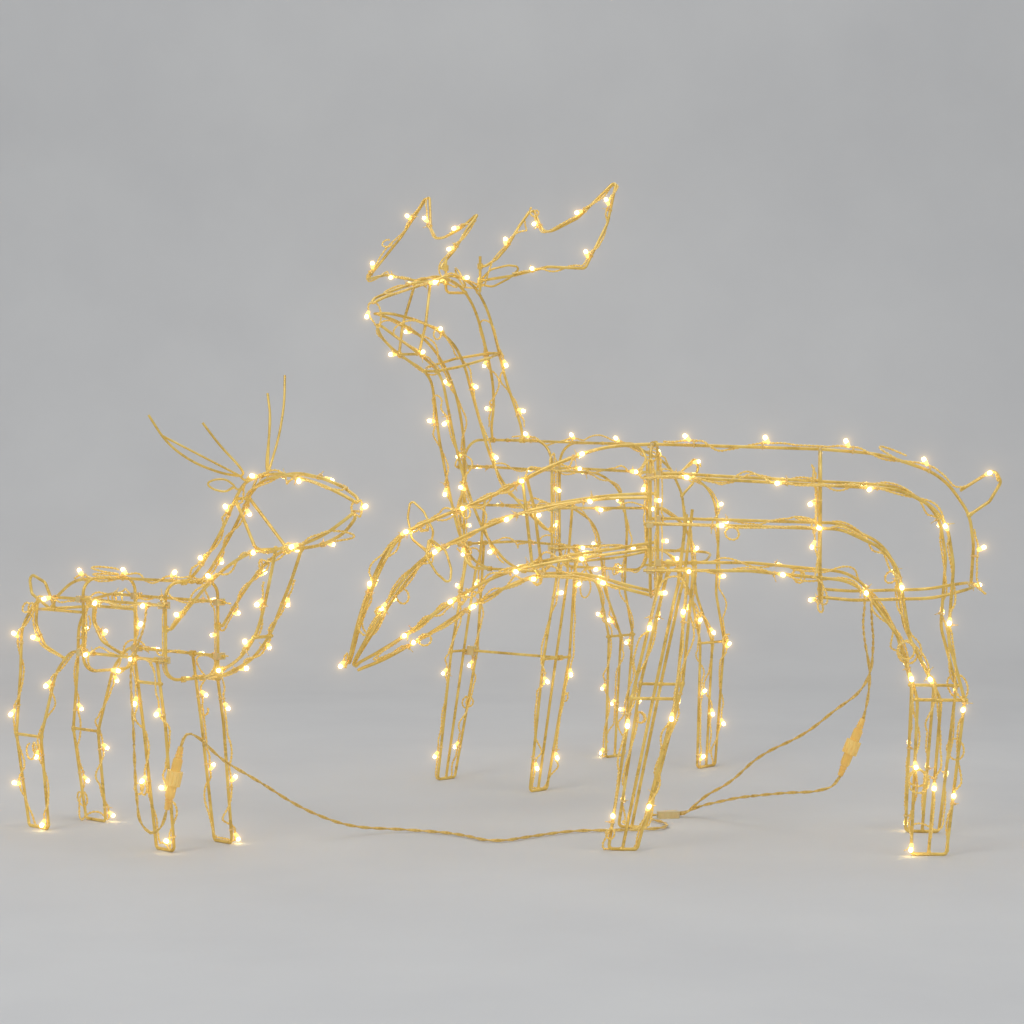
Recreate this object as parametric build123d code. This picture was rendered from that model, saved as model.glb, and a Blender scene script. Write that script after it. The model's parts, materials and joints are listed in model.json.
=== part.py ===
"""Lighted yard deer: a stag, a grazing doe and a young deer, joined by one lead.

Every figure is a frame of bent steel wire carrying a string of small lamps.
Millimetres, +Z up. The origin is the point on the ground in the middle of the
group's outline, +X runs along the row and +Y towards the back, where the stag stands.
Each figure is drawn in its own axes first: +X towards its head, +Y to its left,
ground at Z = 0, and is then turned and set down on its own spot.
"""

import os
from math import acos, cos, sin, tan, pi, radians

from build123d import *

# Wire, string and lamp sizes
WIRE = 4.0               # painted steel frame wire
STRING = 2.0             # two-core lamp wire, over its sleeve
CORD = 4.2               # lead between the figures
RUN_GAP = 0.08           # play of an eyelet round its wire, per side
LAYER = WIRE + 0.4       # a hoop lies this far inside the rails it crosses
STRING_OFFSET = 5.6      # lamp wire centre to frame wire centre
LAMP_D = 5.0
LAMP_BODY = 6.0
BODY_SPACING = 112.0     # between lamps on the bodies of the stag and the doe
LEG_SPACING = 115.0
NECK_SPACING = 92.0
ANTLER_SPACING = 100.0
F_BODY_SPACING = 96.0    # the same for the young deer
F_LEG_SPACING = 110.0
F_NECK_SPACING = 84.0

# Stag and doe bodies share these
HALF_WIDTH = 92.0        # middle of the body to the side rails
HOOP_FRONT_X = 150.0
HOOP_MID_X = -55.0
HOOP_TOP = 494.0
HOOP_BOTTOM = 308.0
RAIL_TOP = 455.0
RAIL_MID = 398.0
RAIL_LOW = 342.0
HOCK_Z = 188.0
KNEE_Z = 186.0

# The young deer
F_HALF_WIDTH = 45.0
F_HOOP_FRONT_X = 131.0
F_HOOP_REAR_X = -36.0
F_HOOP_TOP = 326.0
F_HOOP_BOTTOM = 207.0
F_RAIL_TOP = 299.0
F_RAIL_LOW = 232.0

# Where each figure stands on the layout plan: X, Y and heading in degrees
PLACES = {
    "doe": (326.0, -264.0, 174.0),
    "stag": (97.0, 392.0, -133.8),
    "fawn": (-485.0, -212.0, -45.0),
}
PLAN_MIDDLE = (-24.29, 49.21)     # middle of the group's outline on the plan; it becomes the origin
FOOT_KEEP_OFF = 12.0             # no lamp sits lower than this


# ---------------------------------------------------------------- helpers

def bent_path(points, radius=12.0):
    """Straight runs joined by round bends of one radius, or one radius per corner."""
    spots = [Vector(*p) for p in points]
    corners = len(spots) - 2
    radii = radius if isinstance(radius, (list, tuple)) else [radius] * corners
    edges = []
    last = spots[0]
    for i in range(1, len(spots) - 1):
        back = spots[i - 1] - spots[i]
        ahead = spots[i + 1] - spots[i]
        u = back.normalized()
        v = ahead.normalized()
        half_turn = (pi - acos(max(-1.0, min(1.0, u.dot(v))))) / 2
        if half_turn < 0.004:
            edges.append(Edge.make_line(last, spots[i]))
            last = spots[i]
            continue
        reach = min(radii[i - 1] * tan(half_turn), 0.48 * back.length, 0.48 * ahead.length)
        bend = reach / tan(half_turn)
        inward = (u + v).normalized()
        middle = spots[i] + inward * (bend / cos(half_turn) - bend)
        first = spots[i] + u * reach
        second = spots[i] + v * reach
        edges.append(Edge.make_line(last, first))
        edges.append(Edge.make_three_point_arc(first, middle, second))
        last = second
    edges.append(Edge.make_line(last, spots[-1]))
    return Wire(edges)


def smooth_path(points):
    """A flowing line: bends as round as the points allow."""
    return bent_path(points, 400.0)


def ring_path(points, radius):
    """A closed bend, butted at the middle of its last side with a hair of room."""
    first = Vector(*points[0])
    last = Vector(*points[-1])
    along = (first - last).normalized()
    seam = (first + last) * 0.5
    start = seam + along * 0.1
    end = seam - along * 0.1
    spots = [tuple(start)] + list(points) + [tuple(end)]
    return bent_path(spots, radius)


def rod(path, diameter=WIRE):
    """Round wire swept along a path."""
    profile = Plane(origin=path @ 0, z_dir=path % 0) * Circle(diameter / 2)
    return sweep(profile, path=path)


def sleeve(centre, axis, length):
    """An eyelet rolled round a frame wire, free to turn on it."""
    bore = WIRE / 2 + RUN_GAP
    ring = Circle(bore + 1.8) - Circle(bore)
    plane = Plane(origin=centre, z_dir=axis)
    return extrude(plane * ring, length / 2, both=True)


def hook(centre, axis, open_away, length=8.0):
    """Half an eyelet: it wraps one side of a wire and leaves the other side open."""
    bore = WIRE / 2 + RUN_GAP
    plane = Plane(origin=centre, x_dir=open_away, z_dir=axis)
    ring = Circle(bore + 1.8) - Circle(bore)
    half = ring & Pos(bore + 1.8, 0) * Rectangle(2 * bore + 3.6, 4 * bore + 7.2)
    return extrude(plane * half, length / 2, both=True)


def shifted(points, dx=0.0, dy=0.0, dz=0.0):
    """The same points moved sideways."""
    return [(x + dx, y + dy, z + dz) for x, y, z in points]


def in_plane(points, y):
    """Points of a side view set into the upright plane at y."""
    return [(x, y, z) for x, z in points]


def mirrored(points):
    """The same bend on the other side of the animal."""
    return [(x, -y, z) for x, y, z in points]


def lamp(spot, outward):
    """One moulded lamp standing on the lamp wire: a stem and a round lens."""
    facing = Vector(*outward).normalized()
    base = spot + facing * (STRING / 2 + 0.05)
    stem = Cylinder(LAMP_D / 2, LAMP_BODY, align=(Align.CENTER, Align.CENTER, Align.MIN))
    lens = Pos(0, 0, LAMP_BODY) * Sphere(LAMP_D / 2)
    return Plane(origin=base, z_dir=facing) * (stem + lens)


def square_to(along, outward):
    """The facing nearest to outward that is square to the wire."""
    facing = Vector(*outward)
    return facing - along * facing.dot(along)


def above(along):
    """Square to a wire in the upright middle plane, on its outer side."""
    return Vector(along.Z, 0, -along.X)


def lamps_along(path, outward, start=0.5, end=0.5, spacing=BODY_SPACING):
    """Lamps at even steps; start and end are the empty parts, in steps."""
    count = max(1, round(path.length / spacing - start - end) + 1)
    run = path.length - (start + end) * spacing
    step = run / max(1, count - 1)
    first = start * spacing if count > 1 else path.length / 2
    lamps = []
    for i in range(count):
        where = (first + i * step) / path.length
        while (path @ where).Z < FOOT_KEEP_OFF:
            where += 2 / path.length
        along = (path % where).normalized()
        facing = outward(along) if callable(outward) else square_to(along, outward)
        lamps.append(lamp(path @ where, tuple(facing)))
    return lamps


def save(name, pieces, place=None):
    """Write one node: all its solids, set down where the figure stands."""
    solids = []
    for piece in pieces:
        solids += list(piece.solids())
    x, y, turn = PLACES[place] if place else (0, 0, 0)
    spot = Location((x - PLAN_MIDDLE[0], y - PLAN_MIDDLE[1], 0), (0, 0, turn))
    group = Compound(label=name, children=[spot * s for s in solids])
    export_step(group, os.path.join("parts", name + ".step"))


# ---------------------------------------------------------------- stag and doe bodies

RAIL_AND_HIND_LEG = [
    (158, RAIL_TOP), (120, RAIL_TOP), (-150, 441), (-204, 412), (-214, 350), (-208, 262), (-228, HOCK_Z),
    (-207, 2), (-165, 2), (-172, HOCK_Z), (-150, 262), (-100, 330), (30, RAIL_LOW), (158, RAIL_LOW),
]
RAIL_AND_LEG_BENDS = [90, 90, 60, 80, 60, 25, 5, 5, 60, 60, 60, 60]
MIDDLE_RAIL = [
    (158, RAIL_MID), (120, RAIL_MID), (-80, 393), (-146, 362), (-162, 262), (-200, HOCK_Z), (-186, 2),
]
MIDDLE_RAIL_BENDS = [90, 60, 60, 60, 30]
SPINE = [
    (154, HOOP_TOP), (-55, 488), (-130, 482), (-205, 456), (-238, 408), (-243, 370), (-240, 321),
]


def hock_bar(y):
    """Short bar tying the three wires of a hind leg together."""
    return bent_path([(-228, y, HOCK_Z), (-172, y, HOCK_Z)])


def side_frame(side):
    """Rails and hind leg of one side, bent from two long wires and a short bar."""
    y = side * HALF_WIDTH
    outline = rod(bent_path(in_plane(RAIL_AND_HIND_LEG, y), RAIL_AND_LEG_BENDS))
    middle = rod(bent_path(in_plane(MIDDLE_RAIL, y), MIDDLE_RAIL_BENDS))
    return [outline, middle, rod(hock_bar(y))]


def hoop_points(x, half_width, top, bottom):
    """Corners of an upright hoop, starting low on the left side."""
    return [(x, half_width, bottom), (x, half_width, top), (x, -half_width, top), (x, -half_width, bottom)]


def hoop(x, half_width, top, bottom, low_bend, top_bend):
    """Upright hoop across the body."""
    corners = hoop_points(x, half_width, top, bottom)
    return rod(ring_path(corners, [low_bend, top_bend, top_bend, low_bend]))


def hip_points():
    """The level bow that runs from the middle hoop round behind the hind legs."""
    inner = HALF_WIDTH - LAYER
    left = [(HOOP_MID_X, inner - 8, HOOP_BOTTOM + 2), (-95, inner, 307), (-190, inner, 310), (-240, 58, 321)]
    return left + [(x, -y, z) for x, y, z in reversed(left)]


def tail_path():
    """Flat loop standing out behind the rump."""
    return bent_path([(-226, 0, 437), (-268, 0, 464), (-276, 0, 448), (-262, 0, 424), (-239, 0, 408)], 8)


def centre_frame():
    """Spine, the two hoops, the hip bow and the tail, welded together."""
    inner = HALF_WIDTH - LAYER
    return [
        rod(bent_path(in_plane(SPINE, 0), [200, 200, 90, 60, 60])),
        hoop(HOOP_FRONT_X, inner, HOOP_TOP, HOOP_BOTTOM, 26, 34),
        hoop(HOOP_MID_X, inner, 488, HOOP_BOTTOM - 6, 26, 34),
        rod(bent_path(hip_points(), [60, 60, 40, 40, 60, 60])),
        rod(tail_path()),
    ]


def crossing_clip(x, side, half_width, z):
    """Plastic snap block gripping a rail and the hoop behind it."""
    rail_y = side * half_width
    hoop_y = side * (half_width - LAYER)
    bore = WIRE / 2 + 0.05
    block = Pos(x, side * (half_width - LAYER / 2), z) * Box(8.4, LAYER + 8.2, 8.4)
    along = Pos(x, rail_y, z) * Rot(0, 90, 0) * Cylinder(bore, 20)
    upright = Pos(x, hoop_y, z) * Cylinder(bore, 20)
    return block - along - upright


def adult_clips():
    """Snap blocks where the side rails cross the two hoops."""
    clips = []
    for side in (1, -1):
        for z in (RAIL_TOP, RAIL_MID, RAIL_LOW):
            clips.append(crossing_clip(HOOP_FRONT_X, side, HALF_WIDTH, z))
    return clips


# ---------------------------------------------------------------- stag and doe front legs

LEG_OUTLINE = [(104, 338), (118, KNEE_Z), (165, 2), (200, 2), (172, KNEE_Z), (136, 338)]
LEG_BENDS = [50, 5, 5, 50]
EYELET_X = (104.0, 136.0)


def leg_middle_points(side):
    """Third wire of a front leg; its top bears on the inside of the middle rail."""
    y = side * HALF_WIDTH
    inner = side * (HALF_WIDTH - LAYER)
    return [(183, y, 2), (146, y, KNEE_Z), (122, y, 300), (116, inner, 325), (106, inner, RAIL_MID + 12)]


def front_leg(side):
    """Front leg with two eyelets rolled round the lower rail."""
    y = side * HALF_WIDTH
    outline = rod(bent_path(in_plane(LEG_OUTLINE, y), LEG_BENDS))
    middle = rod(bent_path(leg_middle_points(side), [40, 20, 12]))
    knee = rod(bent_path([(118, y, KNEE_Z), (172, y, KNEE_Z)]))
    eyelets = [
        sleeve((x, y, RAIL_LOW), (1, 0, 0), 8) for x in EYELET_X
    ]
    return [outline, middle, knee] + eyelets


# ---------------------------------------------------------------- necks and heads

HOOP_SIDE = HALF_WIDTH - LAYER
GRIP_X = HOOP_FRONT_X + WIRE / 2 + 0.6     # neck wires start here, inside their hooks
NECK_EYELET_Y = 30.0
HOOK_HIGH = 430.0
HOOK_LOW = 368.0
HOOK_CHEST_Y = 34.0

DOE_NAPE = [
    (GRIP_X, NECK_EYELET_Y, HOOP_TOP), (216, 28, 491), (285, 27, 464), (354, 25, 428), (432, 22, 397),
    (474, 20, 378), (500, 17, 330), (521, 13, 272), (532, 8, 226), (535, 0, 214),
]
DOE_CHEEK = [
    (GRIP_X, HOOP_SIDE, HOOK_HIGH), (200, 74, 429), (250, 62, 423), (307, 52, 412), (389, 42, 378),
    (441, 34, 350), (480, 27, 302), (506, 19, 256), (525, 8, 224), (530, 0, 213),
]
DOE_THROAT = [
    (GRIP_X, HOOP_SIDE, HOOK_LOW), (210, 74, 359), (264, 62, 351), (335, 50, 336), (402, 38, 299),
    (457, 28, 256), (500, 15, 230), (522, 6, 218), (527, 0, 212),
]
DOE_CHEST = [
    (GRIP_X, HOOK_CHEST_Y, HOOP_BOTTOM), (190, 36, 317), (235, 36, 330), (292, 32, 331), (330, 28, 318),
    (378, 22, 291), (442, 16, 249), (490, 10, 222), (518, 5, 211), (524, 0, 208),
]
DOE_NECK_RINGS = [
    [(290, 32, 331), (297, 56, 346), (305, 52, 413), (312, 26, 451)],
]

STAG_NAPE = [
    (HOOP_FRONT_X, NECK_EYELET_Y, HOOP_TOP + 2.6), (152, 30, 512), (156, 21, 542), (166, 13, 578),
    (178, 12, 615), (190, 12, 650), (206, 12, 685), (232, 13, 714), (276, 15, 727), (319, 15, 714),
    (370, 13, 700), (406, 8, 689), (418, 0, 680),
]
STAG_CHEEK = [
    (GRIP_X, HOOP_SIDE, HOOK_LOW), (GRIP_X + 8, 84, HOOK_LOW + 1), (180, 66, 395), (200, 40, 432),
    (212, 24, 475), (224, 18, 520), (240, 16, 565), (258, 20, 602), (282, 24, 630), (318, 24, 650),
    (356, 20, 662), (396, 13, 669), (413, 0, 668),
]
STAG_CHEST_AND_JAW = [
    (GRIP_X, HOOK_CHEST_Y, HOOP_BOTTOM), (185, 33, 320), (220, 27, 356), (241, 21, 402), (257, 17, 445),
    (273, 15, 497), (284, 12, 548), (291, 11, 577), (305, 13, 593), (330, 19, 606), (360, 20, 622),
    (386, 14, 638), (402, 5, 651), (406, 0, 654),
]
STAG_NECK_RINGS = [
    [(303, 12, 591), (280, 32, 597), (222, 34, 610), (178, 12, 618)],
    [(346, 19.5, 614), (336, 23, 655), (319, 15, 714)],
]


def both_sides(points):
    """A wire that runs down one side, round the end on the middle line and back."""
    return points + mirrored(reversed(points[:-1]))


def cross_ring(points, radius=7):
    """Ring across the neck, given by the points of its left half."""
    return rod(ring_path(points + mirrored(reversed(points)), radius))


def adult_neck(lines, rings, hook_heights):
    """Neck and head frame: long wires, rings, two eyelets, and open hooks for the front hoop."""
    pieces = [rod(smooth_path(both_sides(line))) for line in lines]
    pieces += [cross_ring(ring) for ring in rings]
    for side in (1, -1):
        pieces.append(sleeve((HOOP_FRONT_X, side * NECK_EYELET_Y, HOOP_TOP), (0, 1, 0), 8))
        for z in hook_heights:
            pieces.append(hook((HOOP_FRONT_X, side * HOOP_SIDE, z), (0, 0, 1), (1, 0, 0)))
        pieces.append(hook((HOOP_FRONT_X, side * HOOK_CHEST_Y, HOOP_BOTTOM), (0, 1, 0), (1, 0, 0)))
    return pieces


def leaf(root, tip, spread, diameter=3.0):
    """Leaf-shaped ear bent from one wire; spread is half its width as a vector."""
    a = Vector(*root)
    along = Vector(*tip) - a
    wide = Vector(*spread)
    half = [
        a + wide * 0.15, a + along * 0.3 + wide, a + along * 0.7 + wide * 0.75, a + along,
        a + along * 0.7 - wide * 0.75, a + along * 0.3 - wide, a - wide * 0.15,
    ]
    return rod(bent_path([tuple(p) for p in half], [14, 20, 4, 20, 14]), diameter)


# ---------------------------------------------------------------- stag antlers and leg spreader

POST_X = 240.0
POST_Y = 34.0
POST_LOW = 718.0
POST_HIGH = 738.0
ANTLER = [
    (POST_X, POST_Y + 2.6, POST_HIGH), (POST_X, 45, POST_HIGH), (224, 52, 749), (204, 52, 766),
    (180, 52, 796), (152, 52, 824), (167, 80, 798), (184, 108, 782), (160, 146, 804), (123, 186, 858),
    (163, 204, 794), (222, 216, 729), (236, 160, 733), (240, 100, 723), (POST_X, POST_Y + 2.6, POST_LOW),
]
ANTLER_BENDS = [8, 20, 20, 40, 5, 20, 20, 30, 5, 30, 5, 40, 40]


def antler_posts():
    """Upright pins on the head that the antlers turn on."""
    posts = []
    for side in (1, -1):
        y = side * POST_Y
        posts.append(rod(bent_path([(222, side * 12.6, 703), (POST_X, y, 703), (POST_X, y, 752)], 7)))
    return posts


def antler(side):
    """One antler outline with the two eyelets that slip over its pin."""
    points = ANTLER if side > 0 else mirrored(ANTLER)
    pieces = [rod(bent_path(points, ANTLER_BENDS))]
    for z in (POST_LOW, POST_HIGH):
        pieces.append(sleeve((POST_X, side * POST_Y, z), (0, 0, 1), 8))
    return pieces


SPREADER_X = 138.0


def spreader_bar():
    """Bar that hangs on the left knee bar and reaches across to the right one."""
    eyelet = sleeve((SPREADER_X, HALF_WIDTH, KNEE_Z), (1, 0, 0), 8)
    bar = rod(bent_path([(SPREADER_X, HALF_WIDTH - 2.6, KNEE_Z), (SPREADER_X, -86, KNEE_Z)]))
    return [eyelet, bar]


def spreader_clip():
    """Plastic seat on the bar end; the right knee bar drops into its corner."""
    y = -HALF_WIDTH
    body = Pos(SPREADER_X, y + 5.6, KNEE_Z) * Box(8, 18, 13)
    seat = Pos(SPREADER_X, y - 7.9, KNEE_Z + 7.9) * Box(12, 20, 20)
    bore = Pos(SPREADER_X, y + 15, KNEE_Z) * Rot(90, 0, 0) * Cylinder(WIRE / 2 + 0.03, 18.4)
    return [body - seat - bore]


# ---------------------------------------------------------------- young deer

F_SIDE = F_HALF_WIDTH - LAYER
F_GRIP_X = F_HOOP_FRONT_X + WIRE / 2 + 0.6
F_EYELET_Y = 12.0
F_CHEST_Y = 14.0
F_HOOK_Z = 270.0
F_RAIL_AND_LEG = [
    (139, F_RAIL_TOP), (-92, F_RAIL_TOP), (-134, 290), (-163, 256), (-166, 200), (-176, 118),
    (-149, 2), (-106, 2), (-122, 118), (-88, 205), (-56, F_RAIL_LOW), (139, F_RAIL_LOW),
]
F_RAIL_AND_LEG_BENDS = [60, 40, 40, 60, 40, 5, 5, 40, 60, 30]
F_FLANK = [(-128, 291), (-132, 262), (-112, 236), (-70, 222)]
F_SPINE = [(134, F_HOOP_TOP), (F_HOOP_REAR_X, F_HOOP_TOP - 2), (-112, 318), (-150, 294), (-158, 281)]
F_LEG = [(76, 229), (92, 150), (117, 2), (152, 2), (136, 150), (120, 229)]
F_LEG_BENDS = [40, 5, 5, 40]
F_LEG_EYELET_X = (76.0, 120.0)
F_KNEE_Z = 203.0
F_NAPE = [
    (F_GRIP_X, F_EYELET_Y, F_HOOP_TOP), (152, 10, 338), (178, 9, 364), (206, 9, 398), (232, 10, 436),
    (250, 12, 451), (275, 15, 457), (311, 16, 462), (355, 15, 457), (397, 12, 447), (428, 7, 435),
    (437, 0, 428),
]
F_CHEEK = [
    (F_GRIP_X, F_SIDE, F_HOOK_Z), (F_GRIP_X + 8, 40, F_HOOK_Z), (164, 37, 292), (195, 34, 320),
    (232, 29, 349), (277, 24, 370), (322, 21, 373), (358, 18, 379), (397, 14, 393), (424, 7, 411),
    (431, 0, 419),
]
F_THROAT = [
    (F_GRIP_X, F_CHEST_Y, F_HOOP_BOTTOM), (179, 12, 213), (234, 11, 236), (266, 11, 266), (284, 13, 302),
    (299, 17, 334), (314, 20, 372),
]
F_COLLAR = [(283, 24, 371), (229, 11, 430)]


def fawn_side_frame(side):
    """Rails, flank wire and hind leg of one side."""
    y = side * F_HALF_WIDTH
    outline = rod(bent_path(in_plane(F_RAIL_AND_LEG, y), F_RAIL_AND_LEG_BENDS))
    flank = rod(bent_path(in_plane(F_FLANK, y), 20))
    hock = rod(bent_path([(-176, y, 118), (-122, y, 118)]))
    return [outline, flank, hock]


def fawn_hip_points():
    """Bow behind the rear hoop, inside the rails."""
    left = [(F_HOOP_REAR_X, F_SIDE, 282), (-120, F_SIDE, 282), (-158, 24, 279)]
    return left + mirrored(reversed(left))


def fawn_tail_path():
    """Upright loop behind the rump."""
    return bent_path([(-158, 3, 280), (-174, 0, 312), (-211, 0, 324), (-204, 0, 296), (-158, -3, 278)], 8)


def fawn_centre_frame():
    """Spine, two hoops, the hip bow and the tail."""
    return [
        rod(bent_path(in_plane(F_SPINE, 0), [100, 100, 20])),
        hoop(F_HOOP_FRONT_X, F_SIDE, F_HOOP_TOP, F_HOOP_BOTTOM, 19, 19),
        hoop(F_HOOP_REAR_X, F_SIDE, F_HOOP_TOP - 2, F_HOOP_BOTTOM, 19, 19),
        rod(bent_path(fawn_hip_points(), [20, 20, 20, 20])),
        rod(fawn_tail_path()),
    ]


def fawn_clips():
    """Snap blocks where the young deer's rails cross its hoops."""
    clips = []
    for side in (1, -1):
        for x in (F_HOOP_FRONT_X, F_HOOP_REAR_X):
            for z in (F_RAIL_TOP, F_RAIL_LOW):
                clips.append(crossing_clip(x, side, F_HALF_WIDTH, z))
    return clips


def fawn_front_leg(side):
    """Front leg of the young deer on its two eyelets."""
    y = side * F_HALF_WIDTH
    pieces = [rod(bent_path(in_plane(F_LEG, y), F_LEG_BENDS))]
    pieces.append(rod(bent_path([(81, y, F_KNEE_Z), (125, y, F_KNEE_Z)])))
    pieces += [sleeve((x, y, F_RAIL_LOW), (1, 0, 0), 7) for x in F_LEG_EYELET_X]
    return pieces


def fawn_neck():
    """Neck and head of the young deer with its eyelets and hooks."""
    pieces = [rod(smooth_path(both_sides(F_NAPE))), rod(smooth_path(both_sides(F_CHEEK)))]
    for side in (1, -1):
        throat = F_THROAT if side > 0 else mirrored(F_THROAT)
        pieces.append(rod(smooth_path(throat)))
        pieces.append(sleeve((F_HOOP_FRONT_X, side * F_EYELET_Y, F_HOOP_TOP), (0, 1, 0), 6))
        pieces.append(hook((F_HOOP_FRONT_X, side * F_SIDE, F_HOOK_Z), (0, 0, 1), (1, 0, 0)))
        pieces.append(hook((F_HOOP_FRONT_X, side * F_CHEST_Y, F_HOOP_BOTTOM), (0, 1, 0), (1, 0, 0), 6))
    pieces.append(cross_ring(F_COLLAR))
    pieces.append(rod(bent_path([(266, 11, 266), (266, -11, 266)])))
    return pieces


F_ANTLER_RIGHT = [
    (178, -101, 530), (195, -88, 497), (216, -66, 474), (238, -36, 460), (255, -16, 457),
    (252, -24, 470), (238, -42, 494), (226, -58, 521),
]
F_ANTLER_LEFT = [
    (230, 66, 578), (241, 56, 544), (250, 40, 505), (256, 23, 474), (256, 16, 457),
    (252, 18, 474), (250, 24, 502), (247, 29, 529), (238, 32, 556),
]


def fawn_antlers():
    """Each antler is one wire bent to two points."""
    return [rod(smooth_path(F_ANTLER_RIGHT), 3.0), rod(smooth_path(F_ANTLER_LEFT), 3.0)]


# ---------------------------------------------------------------- lamp strings

def outset(points, distance):
    """A side-view line moved sideways, to the right hand when walked."""
    moved = []
    for i, (x, z) in enumerate(points):
        x0, z0 = points[max(0, i - 1)]
        x1, z1 = points[min(len(points) - 1, i + 1)]
        run = Vector(x1 - x0, z1 - z0).normalized()
        moved.append((x + run.Y * distance, z - run.X * distance))
    return moved


def outward_side(points, side, offset=STRING_OFFSET):
    """The line a string takes on the outer face of a side frame."""
    line = points if side > 0 else mirrored(points)
    return shifted(line, dy=side * offset)


class Strand:
    """One run of lamp wire with the way its lamps face."""

    def __init__(self, path, facing, start=0.5, end=0.5, spacing=BODY_SPACING):
        self.path = path
        self.facing = facing
        self.start = start
        self.end = end
        self.spacing = spacing

    def wire(self):
        return rod(self.path, STRING)

    def lamps(self):
        return lamps_along(self.path, self.facing, self.start, self.end, self.spacing)


def adult_body_strands():
    """Lamp wire on rails, hind legs, spine and hoops."""
    strands = []
    for side in (1, -1):
        y = side * (HALF_WIDTH + STRING_OFFSET)
        facing = (0, side, 0)
        strands.append(Strand(bent_path(in_plane(RAIL_AND_HIND_LEG, y), RAIL_AND_LEG_BENDS), facing))
        middle = MIDDLE_RAIL[:-1] + [(-187, 20)]
        strands.append(Strand(bent_path(in_plane(middle, y), MIDDLE_RAIL_BENDS), facing, 0.8, 0.6))
    spine = outset([(140, HOOP_TOP - 0.3)] + SPINE[1:4], STRING_OFFSET)
    strands.append(Strand(bent_path(in_plane(spine, 0), 200), above, 0.3, 0.2))
    rump = outset([(-241, 392), SPINE[5], (-241, 334)], STRING_OFFSET)
    strands.append(Strand(bent_path(in_plane(rump, 0), 60), above))
    tail = [(-236, STRING_OFFSET, 443), (-268, STRING_OFFSET, 464), (-276, STRING_OFFSET, 448)]
    strands.append(Strand(bent_path(tail, 8), (0, 1, 0)))
    strands.append(Strand(bent_path([(-246, 30, 321), (-246, -30, 321)]), (-1, 0, 0)))
    return strands


def hoop_strand(x, half_width, high, low, bend):
    """Lamp wire round the sides and bottom of a hoop."""
    points = [(x, half_width, high), (x, half_width, low), (x, -half_width, low), (x, -half_width, high)]
    return bent_path(points, bend)


def adult_hoop_wires():
    """Lamp wire on the two hoops of a stag or doe."""
    front = hoop_strand(HOOP_FRONT_X - STRING_OFFSET, HOOP_SIDE, 475, HOOP_BOTTOM, 26)
    middle = hoop_strand(HOOP_MID_X + STRING_OFFSET, HOOP_SIDE, 470, HOOP_BOTTOM - 6, 26)
    return [front, middle]


def adult_hoop_lamps():
    """Lamps on the two hoops, kept away from the rails."""
    lamps = []
    for x, way, low in ((HOOP_FRONT_X - STRING_OFFSET, -1, HOOP_BOTTOM),
                        (HOOP_MID_X + STRING_OFFSET, 1, HOOP_BOTTOM - 6)):
        spots = [(x, 0, low), (x, HOOP_SIDE, 427), (x, -HOOP_SIDE, 370)]
        lamps += [lamp(Vector(*spot), (way, 0, 0)) for spot in spots]
    return lamps


def adult_leg_strand(side):
    """Lamp wire down and up one front leg."""
    y = side * (HALF_WIDTH + STRING_OFFSET)
    line = [(107, 322)] + LEG_OUTLINE[1:-1] + [(138, 322)]
    return Strand(bent_path(in_plane(line, y), LEG_BENDS), (0, side, 0), 0.3, 0.4, LEG_SPACING)


def neck_strands(lines, spacing=NECK_SPACING):
    """Lamp wire along the outside of the neck wires, clear of hooks and nose."""
    strands = []
    for line in lines:
        for side in (1, -1):
            path = smooth_path(outward_side(line[1:-2], side))
            strands.append(Strand(path, (0, side, 0), 0.3, 0.5, spacing))
    return strands


def chest_strands(line):
    """Lamp wire on the front of the stag's chest wires, ahead of the neck rings."""
    strands = []
    for side in (1, -1):
        points = line if side > 0 else mirrored(line)
        path = smooth_path(shifted(points, dx=STRING_OFFSET))
        strands.append(Strand(path, (1, 0, 0), 0.3, 0.3, NECK_SPACING))
    return strands


def nose_strand(top, bottom):
    """Short upright of lamp wire before the nose, with one lamp."""
    return Strand(bent_path([(top[0], 0, top[1]), (bottom[0], 0, bottom[1])]), (1, 0, 0))


def antler_strand(side):
    """Lamp wire on the front of one antler."""
    line = shifted(ANTLER[2:-1], dx=STRING_OFFSET)
    line = line if side > 0 else mirrored(line)
    return Strand(bent_path(line, ANTLER_BENDS[2:-1]), (1, 0, 0), 0.3, 0.4, ANTLER_SPACING)


def fawn_body_strands():
    """Lamp wire on the rails, hind legs and spine of the young deer."""
    strands = []
    for side in (1, -1):
        y = side * (F_HALF_WIDTH + STRING_OFFSET)
        path = bent_path(in_plane(F_RAIL_AND_LEG, y), F_RAIL_AND_LEG_BENDS)
        strands.append(Strand(path, (0, side, 0), 0.4, 0.6, F_BODY_SPACING))
        flank = bent_path(in_plane(F_FLANK, y), 20)
        strands.append(Strand(flank, (0, side, 0), 0.5, 0.5, F_BODY_SPACING))
    spine = outset([(120, F_HOOP_TOP - 0.1)] + F_SPINE[1:3], STRING_OFFSET)
    strands.append(Strand(bent_path(in_plane(spine, 0), 100), above, 0.3, 0.2, F_BODY_SPACING))
    return strands


def fawn_hoop_wires():
    """Lamp wire on the young deer's hoops."""
    front = hoop_strand(F_HOOP_FRONT_X - STRING_OFFSET, F_SIDE, 305, F_HOOP_BOTTOM, 19)
    rear = hoop_strand(F_HOOP_REAR_X + STRING_OFFSET, F_SIDE, 304, F_HOOP_BOTTOM, 19)
    return [front, rear]


def fawn_hoop_lamps():
    """Lamps on the young deer's hoops."""
    lamps = []
    for x, way in ((F_HOOP_FRONT_X - STRING_OFFSET, -1), (F_HOOP_REAR_X + STRING_OFFSET, 1)):
        spots = [(x, 0, F_HOOP_BOTTOM), (x, F_SIDE, 258)]
        lamps += [lamp(Vector(*spot), (way, 0, 0)) for spot in spots]
    return lamps


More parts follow.
